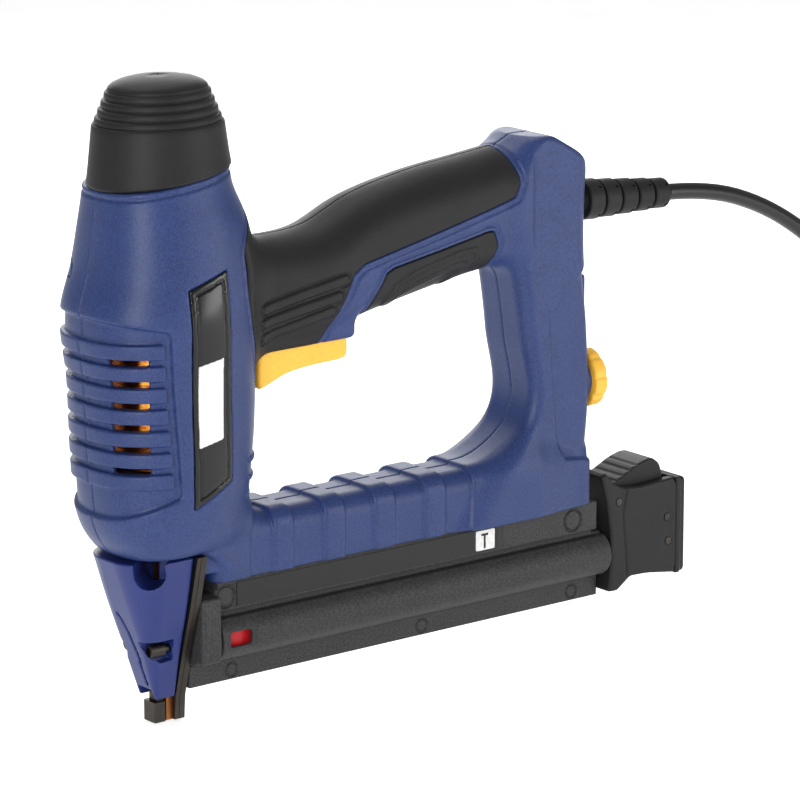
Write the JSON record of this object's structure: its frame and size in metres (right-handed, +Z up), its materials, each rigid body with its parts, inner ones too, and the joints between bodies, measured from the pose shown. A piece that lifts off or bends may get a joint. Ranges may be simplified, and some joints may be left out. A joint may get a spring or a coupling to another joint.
{
  "type": "staple gun",
  "caption": "Corded electric nailer with a D-handle, solenoid tower, sliding magazine, pull trigger, power dial and a rubber-capped top.",
  "frame": {"origin": "the nail exit: where the driver blade's axis meets the work surface under the nose", "axes": "+Z up along the driver blade's axis, away from the work; +X to the rear, from the nose to the cord; +Y across the tool, to the right of a user who holds it with the nose away from them"},
  "size_m": [0.6091, 0.0606, 0.2406],
  "materials": {
    "blue_plastic": "fine grained blue nylon, satin",
    "blue_gloss": "smooth blue nylon, semi gloss",
    "black_rubber": "soft black overmoulded rubber",
    "cord_sheath": "smooth black rubber sheath",
    "black_gloss": "black printed panel",
    "black_steel": "black oxide steel",
    "bright_steel": "bare steel",
    "inner_plastic": "black nylon",
    "copper": "enamelled copper wire",
    "bronze": "bronze coloured steel",
    "grey_plastic": "grained dark grey glass filled nylon",
    "black_plastic": "black nylon",
    "red_plastic": "red acetal",
    "yellow_plastic": "yellow acetal",
    "board": "green circuit board"
  },
  "bodies": {
    "tool": {"bumper": "black_rubber", "cable_clamp": "inner_plastic", "circuit_board": "board", "coil_former": "inner_plastic", "coil_winding": "copper", "cord_coil": "cord_sheath", "cord_tail": "cord_sheath", "foot_stem": "bright_steel", "housing_left": "blue_plastic", "housing_right": "blue_plastic", "housing_screws": "black_steel", "inner_leads": "cord_sheath", "lower_grip_left": "black_rubber", "lower_grip_right": "black_rubber", "magazine_body": "grey_plastic", "magazine_panel_left": "black_gloss", "magazine_panel_right": "black_gloss", "mains_cord": "cord_sheath", "micro_switch": "black_plastic", "nail_guide": "bronze", "nose_cover": "blue_gloss", "nose_foot": "black_rubber", "nose_plate_front": "bright_steel", "nose_plate_rear": "bright_steel", "nose_screws": "black_steel", "plug": "black_rubber", "plug_pins": "bright_steel", "potentiometer": "bright_steel", "return_spring": "bright_steel", "side_panel_left": "black_gloss", "side_panel_right": "black_gloss", "solenoid_frame": "bright_steel", "strain_relief": "black_rubber", "switch_bezel": "blue_plastic", "switch_body": "black_plastic", "switch_carrier": "inner_plastic", "tower_cap": "black_rubber", "trigger_pin": "bright_steel", "trigger_spring": "bright_steel", "upper_grip_left": "black_rubber", "upper_grip_right": "black_rubber"},
    "trigger": {"trigger": "yellow_plastic"},
    "driver": {"plunger": "bright_steel", "driver_blade": "bright_steel", "blade_pin": "bright_steel"},
    "magazine_slide": {"magazine_rail": "grey_plastic", "magazine_end_block": "black_plastic", "magazine_end_cap": "black_plastic", "block_pins": "black_steel", "follower_rod": "bright_steel", "follower_spring": "bright_steel", "latch_spring": "bright_steel"},
    "latch": {"magazine_latch": "black_plastic"},
    "follower": {"follower": "red_plastic"},
    "dial": {"impact_dial": "yellow_plastic", "dial_shaft": "bright_steel"},
    "power_slider": {"power_slider": "black_plastic"}
  },
  "joints": [
    {"name": "trigger_pull", "type": "hinge", "parent": "tool", "child": "trigger", "pos_m": [0.074, 0, 0.1402], "axis": [0, 1, 0], "range_deg": [0, 6], "stiffness_Nm_per_rad": 1.2, "springref_deg": -6.88, "deforming": ["trigger_spring"]},
    {"name": "driver_stroke", "type": "slide", "parent": "tool", "child": "driver", "axis": [0, 0, -1], "range_m": [0, 0.036], "stiffness_N_per_m": 250, "springref_m": -0.02, "deforming": ["return_spring"]},
    {"name": "magazine_pull", "type": "slide", "parent": "tool", "child": "magazine_slide", "axis": [1, 0, 0], "range_m": [0, 0.13]},
    {"name": "latch_press", "type": "hinge", "parent": "magazine_slide", "child": "latch", "pos_m": [0.2096, 0, 0.0494], "axis": [0, 1, 0], "range_deg": [0, 6], "stiffness_Nm_per_rad": 0.8, "springref_deg": -6.88, "deforming": ["latch_spring"]},
    {"name": "follower_slide", "type": "slide", "parent": "magazine_slide", "child": "follower", "axis": [1, 0, 0], "range_m": [0, 0.11], "stiffness_N_per_m": 25, "springref_m": -0.08, "deforming": ["follower_spring"]},
    {"name": "dial_turn", "type": "hinge", "parent": "tool", "child": "dial", "pos_m": [0.19, 0, 0.099], "axis": [1, 0, 0], "range_deg": [0, 270]},
    {"name": "power_slide", "type": "slide", "parent": "tool", "child": "power_slider", "axis": [0, 0, 1], "range_m": [0, 0.006]}
  ]
}
